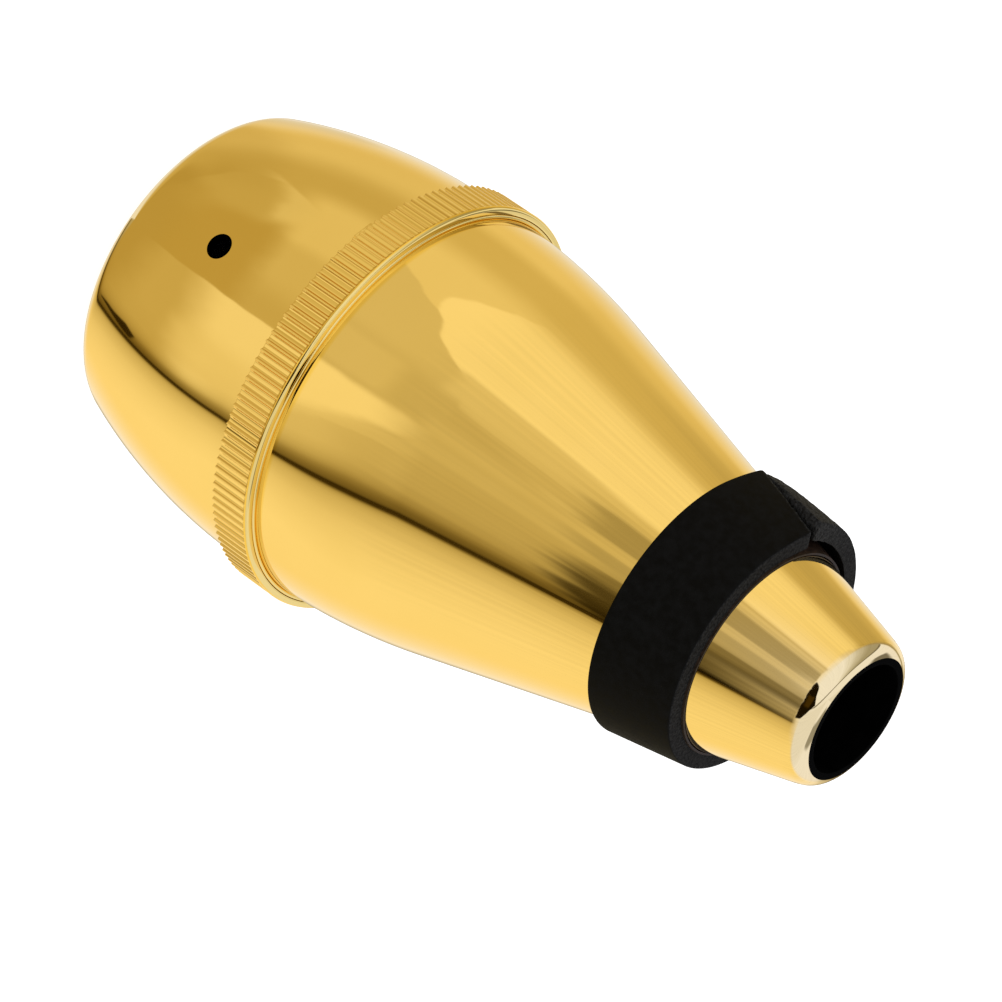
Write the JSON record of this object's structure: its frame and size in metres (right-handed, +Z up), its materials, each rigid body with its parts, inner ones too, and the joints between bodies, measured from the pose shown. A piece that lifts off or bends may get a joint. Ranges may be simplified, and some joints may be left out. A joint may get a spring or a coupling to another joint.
{
  "type": "trumpet practice mute",
  "caption": "Gold practice mute: closed cup with a vent hole and a knurled collar, screwed to a cone-shaped shell with an open nose and a foam band that seats in the bell.",
  "frame": {"origin": "centre of the flat base of the cup, where the mute stands", "axes": "+Z up the mute's axis from the base to the open nose, -Y through the vent hole"},
  "size_m": [0.075, 0.075, 0.1452],
  "materials": {
    "gold_shell": "metallised gold, mirror polish",
    "seal_rubber": "matt",
    "black_plastic": "satin",
    "band_tape": "satin",
    "band_foam": "matt, fine-celled",
    "pad_foam": "open cells, matt",
    "pad_adhesive": "satin"
  },
  "bodies": {
    "cup": {"rear_cup": "gold_shell", "damping_pad": "pad_foam", "pad_tape": "pad_adhesive"},
    "seal": {"seal_ring": "seal_rubber"},
    "shell": {"front_shell": "gold_shell", "nose_tube": "black_plastic", "foam_tape": "band_tape", "foam_band": "band_foam"}
  },
  "joints": [
    {"name": "front_rise", "type": "slide", "parent": "cup", "child": "seal", "axis": [0, 0, 1], "range_m": [0, 0.009]},
    {"name": "unscrew", "type": "hinge", "parent": "seal", "child": "shell", "pos_m": [0, 0, 0.0488], "axis": [0, 0, 1], "range_deg": [0, 1080]}
  ],
  "couplings": [
    {"joint": "front_rise", "follows": "unscrew", "m_per_rad": 0.000477}
  ]
}
